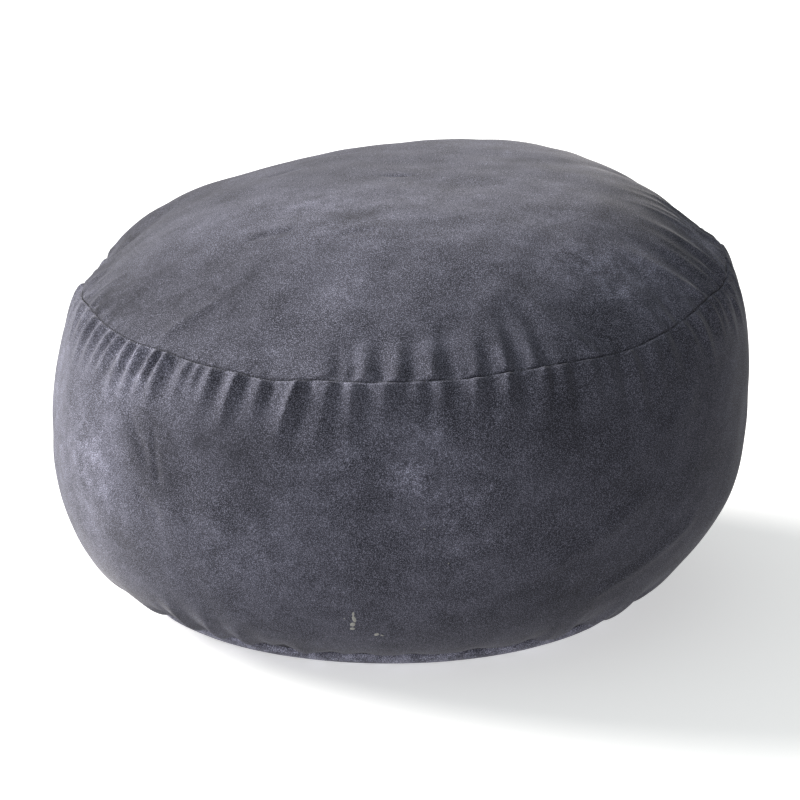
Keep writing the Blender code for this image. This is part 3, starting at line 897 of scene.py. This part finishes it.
def padded_panel(name, columns, places, cloth, pole_at_start):
    """One velvet panel: a tube whose points are moved onto the cloth, closed and shaded."""
    rows = len(places) - 1
    tube = cloth_tube(name, columns, rows)
    points = mesh_points(tube.data)
    step = np.rint(points[:, 2] * rows).astype(int)
    angle = np.arctan2(points[:, 1], points[:, 0])
    moved = cloth(angle, places[step])
    tube.data.vertices.foreach_set("co", moved.ravel())
    tube.data.update()
    close_end(tube, step == rows, as_pole=False)
    first = np.zeros(len(tube.data.vertices), bool)
    first[: len(step)] = step == 0
    close_end(tube, first, as_pole=pole_at_start)
    deselect_all()
    tube.select_set(True)
    bpy.context.view_layer.objects.active = tube
    bpy.ops.object.mode_set(mode="EDIT")
    bpy.ops.mesh.select_all(action="SELECT")
    bpy.ops.mesh.normals_make_consistent(inside=False)
    bpy.ops.object.mode_set(mode="OBJECT")
    bpy.ops.object.shade_smooth_by_angle(angle=SMOOTH_ANGLE)
    return tube


def close_end(tube, chosen, as_pole):
    """Closes one end of a tube at its middle: as a pole of the cloth, or with a hidden wall."""
    bpy.ops.object.mode_set(mode="EDIT")
    select_points(tube.data, chosen)
    if not as_pole:
        bpy.ops.mesh.extrude_region_move()
    bpy.ops.mesh.merge(type="CENTER")
    bpy.ops.object.mode_set(mode="OBJECT")


def brush_nap_and_paint_light(panel, patches, unevenness, even_painted_light=0.0, seam_painted_light=0.0, base_painted_shade=0.0):
    """Writes at each point of a panel how the pile lies, together with painted light and shade (along the
    seams, in patches and evenly over the panel), for its material to read.
    """
    points = mesh_points(panel.data)
    # An even painted light over the whole panel, used on the base.
    shade = np.full(len(points), even_painted_light)
    angle = np.arctan2(points[:, 1] - TOP_SEAM_Y, points[:, 0] - TOP_SEAM_X)
    # Painted light along the top seam: painted shade on the crown, a painted highlight on the band's lip.
    from_seam = np.linalg.norm(points - top_seam(angle, 1.0), axis=1)
    shade += seam_painted_light * np.exp(-((from_seam / SEAM_PAINTED_LIGHT_WIDTH) ** 2))
    # Painted shade in a thin line along the base seam.
    angle = np.arctan2(points[:, 1] - BASE_SEAM_Y, points[:, 0] - BASE_SEAM_X)
    from_base_seam = np.linalg.norm(points - base_seam(angle), axis=1)
    shade += base_painted_shade * np.exp(-((from_base_seam / BASE_PAINTED_SHADE_WIDTH) ** 2))
    shade += ripples(points, NAP_SWIRL, unevenness, seed=6)
    for patch in patches:
        offset = points - np.array(patch.place)
        level = np.linalg.norm(offset[:, :2], axis=1) / (patch.across_mm * MM)
        upright = offset[:, 2] / (patch.tall_mm * MM)
        shade += patch.shade * np.exp(-(level**2) - upright**2)
    layer = panel.data.attributes.new("nap_and_painted_light", "FLOAT", "POINT")
    layer.data.foreach_set("value", shade.astype(np.float32))


def new_material(name, roughness):
    """A new material, with its node tree and its shader."""
    material = bpy.data.materials.new(name)
    material.use_nodes = True
    shader = material.node_tree.nodes["Principled BSDF"]
    shader.inputs["Roughness"].default_value = roughness
    return material, material.node_tree, shader


def noise(tree, place, scale, detail, roughness=0.5, distortion=0.0):
    """A noise node's value, read at a place."""
    node = tree.nodes.new("ShaderNodeTexNoise")
    node.inputs["Scale"].default_value = scale
    node.inputs["Detail"].default_value = detail
    node.inputs["Roughness"].default_value = roughness
    node.inputs["Distortion"].default_value = distortion
    tree.links.new(place, node.inputs["Vector"])
    return node.outputs["Fac"]


def arithmetic(tree, operation, first, second):
    """A maths node's result. Each side is a socket or a number."""
    node = tree.nodes.new("ShaderNodeMath")
    node.operation = operation
    for socket, value in zip(node.inputs, (first, second)):
        if isinstance(value, bpy.types.NodeSocket):
            tree.links.new(value, socket)
        else:
            socket.default_value = value
    return node.outputs["Value"]


def dot(tree, vector, direction):
    """How far a vector runs along a direction."""
    node = tree.nodes.new("ShaderNodeVectorMath")
    node.operation = "DOT_PRODUCT"
    tree.links.new(vector, node.inputs[0])
    node.inputs[1].default_value = direction
    return node.outputs["Value"]


def spread(tree, value, low, high, to_low, to_high):
    """Maps a value from one range to another, held at its ends."""
    node = tree.nodes.new("ShaderNodeMapRange")
    node.interpolation_type = "SMOOTHSTEP"
    for name, number in (("From Min", low), ("From Max", high), ("To Min", to_low), ("To Max", to_high)):
        node.inputs[name].default_value = number
    tree.links.new(value, node.inputs["Value"])
    return node.outputs["Result"]


def blend_colours(tree, share, dark, light):
    """A colour between two, by a share."""
    node = tree.nodes.new("ShaderNodeMix")
    node.data_type = "RGBA"
    tree.links.new(share, node.inputs["Factor"])
    colours = [socket for socket in node.inputs if socket.type == "RGBA"]
    colours[0].default_value = (*dark, 1.0)
    colours[1].default_value = (*light, 1.0)
    return next(socket for socket in node.outputs if socket.type == "RGBA")


def velvet(look):
    """Dark velvet: tufts, patches brushed one way or the other, painted light and shade from its panels,
    and pile tips that catch the light.
    """
    existing = bpy.data.materials.get("velvet_pile")
    if existing:
        return existing
    material, tree, shader = new_material("velvet_pile", PILE_ROUGHNESS)
    place = tree.nodes.new("ShaderNodeTexCoord").outputs["Object"]
    tufts = noise(tree, place, 1 / look.grain, detail=0.0)
    patches = noise(tree, place, 1 / look.brushed, detail=2.5, distortion=0.4)
    smudge_scale = SMUDGES_PER_PATCH / look.brushed
    smudges = noise(tree, place, smudge_scale, detail=3.0, roughness=0.55, distortion=0.6)
    brushed = spread(tree, patches, 0.34, 0.66, -BRUSHED_SHARE, BRUSHED_SHARE)
    smudged = spread(tree, smudges, 0.33, 0.67, -SMUDGED_SHARE, SMUDGED_SHARE)
    grain = arithmetic(tree, "POWER", spread(tree, tufts, 0.3, 0.8, 0.0, TUFT_SHARE), TUFT_SPARSENESS)
    share = arithmetic(tree, "ADD", brushed, smudged)
    share = arithmetic(tree, "ADD", share, grain)
    share = arithmetic(tree, "ADD", share, PLAIN_SHARE)
    pile = tuple(look.pile)
    dark = tuple(DARKEST_PILE * channel for channel in pile)
    light = tuple(LIGHTEST_PILE * channel for channel in pile)
    colour = blend_colours(tree, share, dark, light)
    # This attribute lightens or darkens the colour by stops: brushed pile, together with painted light and
    # painted shade.
    nap_and_painted_light = tree.nodes.new("ShaderNodeAttribute")
    nap_and_painted_light.attribute_name = "nap_and_painted_light"
    uneven = spread(tree, smudges, 0.3, 0.7, 0.5, 1.5)
    stops = arithmetic(tree, "MULTIPLY", nap_and_painted_light.outputs["Fac"], uneven)
    shade = tree.nodes.new("ShaderNodeHueSaturation")
    tree.links.new(arithmetic(tree, "POWER", 2.0, stops), shade.inputs["Value"])
    tree.links.new(colour, shade.inputs["Color"])
    tree.links.new(shade.outputs["Color"], shader.inputs["Base Color"])
    tuft_bump = tree.nodes.new("ShaderNodeBump")
    tuft_bump.inputs["Strength"].default_value = TUFT_BUMP
    tuft_bump.inputs["Distance"].default_value = TUFT_HEIGHT
    tree.links.new(tufts, tuft_bump.inputs["Height"])
    tree.links.new(tuft_bump.outputs["Normal"], shader.inputs["Normal"])
    shader.inputs["Specular IOR Level"].default_value = PILE_SHINE
    shader.inputs["Sheen Weight"].default_value = look.sheen
    shader.inputs["Sheen Roughness"].default_value = look.sheen_spread
    shader.inputs["Sheen Tint"].default_value = (*look.sheen_tint, 1.0)
    return material


def thread_material():
    """Dark twisted polyester thread."""
    material, tree, shader = new_material("dark_thread", 0.7)
    place = tree.nodes.new("ShaderNodeTexCoord").outputs["Object"]
    twist = noise(tree, place, 2400, 1.0)
    colour = blend_colours(tree, twist, (0.010, 0.010, 0.012), (0.045, 0.045, 0.052))
    tree.links.new(colour, shader.inputs["Base Color"])
    return material


def lint_material():
    """Pale, matted lint."""
    material, tree, shader = new_material("pale_lint", 0.95)
    place = tree.nodes.new("ShaderNodeTexCoord").outputs["Object"]
    matting = noise(tree, place, 1800, 3.0, 0.7)
    colour = blend_colours(tree, matting, (0.22, 0.22, 0.21), (0.62, 0.61, 0.57))
    tree.links.new(colour, shader.inputs["Base Color"])
    return material


def floor_material():
    """A plain pale studio floor, faintly mottled."""
    material, tree, shader = new_material("studio_floor", 0.9)
    shader.inputs["Emission Color"].default_value = (1.0, 1.0, 1.0, 1.0)
    shader.inputs["Emission Strength"].default_value = FLOOR_EMISSION
    place = tree.nodes.new("ShaderNodeTexCoord").outputs["Object"]
    mottle = noise(tree, place, 3.0, 3.0)
    colour = blend_colours(tree, mottle, (0.90, 0.90, 0.90), (0.93, 0.93, 0.93))
    tree.links.new(colour, shader.inputs["Base Color"])
    return material


def attach(piece, material):
    """Gives a piece its material and makes it ride on the pouf."""
    piece.data.materials.clear()
    piece.data.materials.append(material)
    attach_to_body(piece, "root")


def sprinkle(name, master, placements):
    """One mesh of many copies of a small master shape, each moved by its own matrix."""
    points = mesh_points(master.data)
    faces = [tuple(face.vertices) for face in master.data.polygons]
    all_points, all_faces = [], []
    for placement in placements:
        turned = points @ np.array(placement.to_3x3()).T + np.array(placement.translation)
        first = len(all_points) * len(points)
        all_points.append(turned)
        all_faces += [tuple(index + first for index in face) for face in faces]
    mesh = bpy.data.meshes.new(name)
    mesh.from_pydata(np.concatenate(all_points).tolist(), [], all_faces)
    bpy.data.objects.remove(master)
    piece = bpy.data.objects.new(name, mesh)
    bpy.context.scene.collection.objects.link(piece)
    mesh.shade_smooth()
    return piece


def small_ball():
    """A rounded grain of radius 1, to be copied."""
    deselect_all()
    bpy.ops.mesh.primitive_ico_sphere_add(subdivisions=2, radius=1, location=(0, 0, 0))
    return bpy.context.object


def seam_stitches(name, seam, tilt, sizes):
    """The threads that show across one seam."""
    around = np.linspace(0, math.tau, 400)
    length = np.linalg.norm(np.diff(seam(around), axis=0), axis=1).sum()
    count = round(length / sizes.stitch_pitch)
    chance = np.random.default_rng(31)
    placements = []
    for i in range(count):
        angle = np.array([(i + chance.uniform(-0.12, 0.12)) / count * math.tau])
        spot = seam(angle) + THREAD_SINKS * seam_tuck(angle, np.zeros(1), tilt)
        outward = Vector((math.cos(angle[0]), math.sin(angle[0]), tilt)).normalized()
        run = Vector((-math.sin(angle[0]), math.cos(angle[0]), 0.0))
        across = (outward.cross(run) + run * chance.uniform(-0.25, 0.25)).normalized()
        run = across.cross(outward).normalized()
        axes = Matrix((run, across, outward)).transposed()
        size = Matrix.Diagonal((sizes.thread / 2, sizes.stitch_length / 2, sizes.thread / 2))
        placements.append(Matrix.Translation(Vector(spot[0])) @ (axes @ size).to_4x4())
    return sprinkle(name, small_ball(), placements)


class POUF_OT_make_crown(bpy.types.Operator):
    """Makes the domed velvet top panel"""

    bl_idname = "pouf.make_crown"
    bl_label = "Top panel"

    def execute(self, context):
        sizes = context.scene.pouf_sizes
        places = row_places(CROWN_ROWS, fine_start=False, fine_end=True)
        places[0] = places[1] * POLE_RING
        crown = padded_panel(
            "velvet_top_panel",
            CROWN_COLUMNS,
            places,
            lambda angle, along: crown_cloth(angle, along, sizes),
            pole_at_start=True,
        )
        brush_nap_and_paint_light(crown, CROWN_NAP_AND_PAINTED_LIGHT, CROWN_UNEVENNESS, seam_painted_light=CROWN_SEAM_PAINTED_SHADE)
        attach(crown, velvet(context.scene.pouf_velvet))
        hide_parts("top_panel")
        return {"FINISHED"}


class POUF_OT_make_band(bpy.types.Operator):
    """Makes the bulging, gathered velvet side band"""

    bl_idname = "pouf.make_band"
    bl_label = "Side band"

    def execute(self, context):
        sizes = context.scene.pouf_sizes
        places = row_places(BAND_ROWS, fine_start=True, fine_end=True)
        band = padded_panel(
            "velvet_side_band",
            BAND_COLUMNS,
            places,
            lambda angle, along: band_cloth(angle, along, sizes),
            pole_at_start=False,
        )
        brush_nap_and_paint_light(
            band,
            BAND_NAP_AND_PAINTED_LIGHT,
            BAND_UNEVENNESS,
            seam_painted_light=BAND_SEAM_PAINTED_HIGHLIGHT,
            base_painted_shade=BAND_BASE_PAINTED_SHADE,
        )
        attach(band, velvet(context.scene.pouf_velvet))
        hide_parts("side_band")
        return {"FINISHED"}


class POUF_OT_make_base(bpy.types.Operator):
    """Makes the velvet base panel, flat on the floor"""

    bl_idname = "pouf.make_base"
    bl_label = "Base panel"

    def execute(self, context):
        sizes = context.scene.pouf_sizes
        places = row_places(BASE_ROWS, fine_start=False, fine_end=True)
        places[0] = places[1] * POLE_RING
        base = padded_panel(
            "velvet_base_panel",
            BASE_COLUMNS,
            places,
            lambda angle, along: base_cloth(angle, along, sizes),
            pole_at_start=True,
        )
        brush_nap_and_paint_light(base, [], BASE_UNEVENNESS, even_painted_light=BASE_PAINTED_LIGHT)
        attach(base, velvet(context.scene.pouf_velvet))
        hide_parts("base_panel")
        return {"FINISHED"}


class POUF_OT_sew_seams(bpy.types.Operator):
    """Sews the stitches of the top seam and the base seam"""

    bl_idname = "pouf.sew_seams"
    bl_label = "Stitches"

    def execute(self, context):
        sizes = context.scene.pouf_sizes
        thread = thread_material()
        top = seam_stitches("top_seam_stitches", lambda angle: top_seam(angle, 1.0), TOP_SEAM_TILT, sizes)
        base = seam_stitches("base_seam_stitches", base_seam, BASE_SEAM_TILT, sizes)
        for stitches in (top, base):
            attach(stitches, thread)
        return {"FINISHED"}


class POUF_OT_drop_lint(bpy.types.Operator):
    """Drops the few scraps of lint that cling to the front of the band"""

    bl_idname = "pouf.drop_lint"
    bl_label = "Lint"

    def execute(self, context):
        sizes = context.scene.pouf_sizes
        along = np.linspace(0.02, 0.98, 400)
        placements = []
        for scrap in LINT:
            angle = np.full_like(along, math.radians(scrap.angle_deg))
            cloth = band_cloth(angle, along, sizes)
            nearest = int(np.argmin(np.abs(cloth[:, 2] - scrap.height)))
            outward = Vector(normals_of(band_form, angle, along)[nearest])
            level = Vector((-math.sin(angle[0]), math.cos(angle[0]), 0.0))
            upward = outward.cross(level).normalized()
            axes = Matrix((level, upward, outward)).transposed()
            turned = axes @ Matrix.Rotation(math.radians(scrap.turn_deg), 3, "Z")
            half = Matrix.Diagonal((scrap.length_mm * MM / 2, scrap.width_mm * MM / 2, LINT_HALF_THICKNESS))
            placements.append(Matrix.Translation(Vector(cloth[nearest])) @ (turned @ half).to_4x4())
        lint = sprinkle("lint_scraps", small_ball(), placements)
        attach(lint, lint_material())
        return {"FINISHED"}


class POUF_OT_set_stage(bpy.types.Operator):
    """Sets the floor, the lights and the camera"""

    bl_idname = "pouf.set_stage"
    bl_label = "Studio"

    def execute(self, context):
        look = context.scene.pouf_studio
        deselect_all()
        bpy.ops.mesh.primitive_plane_add(size=FLOOR_SIZE, location=(0, 0, 0))
        floor = context.object
        floor.name = "studio_floor"
        floor.data.transform(Matrix.Translation((0, 0, -FLOOR_DROP)))
        floor.data.materials.append(floor_material())
        floor.visible_diffuse = False
        key = (look.key_heading, look.key_height, look.key_width, look.key_strength)
        add_wide_light("key_light", *key, KEY_TINT)
        add_wide_light("top_light", TOP_HEADING, TOP_HEIGHT, TOP_WIDTH, look.top_strength, TOP_TINT)
        context.scene.world = surround_world(look)
        camera = bpy.data.objects.new("photo_camera", bpy.data.cameras.new("photo_camera"))
        camera.data.lens = look.camera_lens
        camera.data.sensor_width = SENSOR_WIDTH_MM
        tilt = look.camera_height
        back = Vector((0.0, -math.cos(tilt), math.sin(tilt)))
        camera.location = Vector(CAMERA_AIM) + look.camera_distance * back
        camera.rotation_euler = (math.pi / 2 - tilt, 0.0, 0.0)
        context.scene.collection.objects.link(camera)
        context.scene.camera = camera
        context.scene.view_settings.view_transform = "Standard"
        return {"FINISHED"}


def add_wide_light(name, heading, height, width, strength, tint):
    """A far, soft light that looks as wide as an angle."""
    data = bpy.data.lights.new(name, "SUN")
    data.color = tint
    data.angle = width
    data.energy = strength
    light = bpy.data.objects.new(name, data)
    level = math.cos(height)
    towards = Vector((level * math.cos(heading), level * math.sin(heading), math.sin(height)))
    light.rotation_euler = towards.to_track_quat("Z", "Y").to_euler()
    light.location = LIGHT_DISTANCE * towards
    bpy.context.scene.collection.objects.link(light)


def surround_world(look):
    """White light from all round, stronger from one side, and sent back up by the floor."""
    world = bpy.data.worlds.new("studio_white")
    world.use_nodes = True
    tree = world.node_tree
    background = tree.nodes["Background"]
    outward = tree.nodes.new("ShaderNodeTexCoord").outputs["Generated"]
    upward = dot(tree, outward, (0.0, 0.0, 1.0))
    overhead = spread(tree, upward, OVERHEAD_START, OVERHEAD_FULL, 0.0, 1.0)
    tint = blend_colours(tree, overhead, LEVEL_SKY, OVERHEAD_SKY)
    tree.links.new(tint, background.inputs["Color"])
    heading = look.surround_heading
    sideways = dot(tree, outward, (math.cos(heading), math.sin(heading), 0.0))
    strength = spread(tree, sideways, -SIDE_FULL, SIDE_FULL, look.surround_dark, look.surround_bright)
    downward = dot(tree, outward, (0.0, 0.0, -1.0))
    glow = spread(tree, downward, GLOW_START, GLOW_FULL, 0.0, look.floor_glow)
    tree.links.new(arithmetic(tree, "ADD", strength, glow), background.inputs["Strength"])
    return world


class POUF_PT_panel(bpy.types.Panel):
    """Lists the pieces of the pouf, with the sizes and looks that they use"""

    bl_label = "Velvet Pouf"
    bl_space_type = "VIEW_3D"
    bl_region_type = "UI"
    bl_category = "Pouf"

    def draw(self, context):
        for name in ("pouf_sizes", "pouf_velvet", "pouf_studio"):
            group = getattr(context.scene, name)
            box = self.layout.box()
            for key in group.__annotations__:
                box.prop(group, key)
        for operator in OPERATORS:
            self.layout.operator(operator.bl_idname)


OPERATORS = (
    POUF_OT_make_crown,
    POUF_OT_make_band,
    POUF_OT_make_base,
    POUF_OT_sew_seams,
    POUF_OT_drop_lint,
    POUF_OT_set_stage,
)
CLASSES = (PoufSizes, VelvetLook, StudioLook, *OPERATORS, POUF_PT_panel)


def register():
    """Adds the classes and the scene's settings to Blender."""
    for item in CLASSES:
        bpy.utils.register_class(item)
    bpy.types.Scene.pouf_sizes = bpy.props.PointerProperty(type=PoufSizes)
    bpy.types.Scene.pouf_velvet = bpy.props.PointerProperty(type=VelvetLook)
    bpy.types.Scene.pouf_studio = bpy.props.PointerProperty(type=StudioLook)


def unregister():
    """Takes the classes and the scene's settings out of Blender."""
    del bpy.types.Scene.pouf_studio
    del bpy.types.Scene.pouf_velvet
    del bpy.types.Scene.pouf_sizes
    for item in reversed(CLASSES):
        bpy.utils.unregister_class(item)


def main():
    """Makes every piece and the studio."""
    register()
    bpy.ops.pouf.make_crown()
    bpy.ops.pouf.make_band()
    bpy.ops.pouf.make_base()
    bpy.ops.pouf.sew_seams()
    bpy.ops.pouf.drop_lint()
    bpy.ops.pouf.set_stage()


if __name__ == "__main__":
    main()
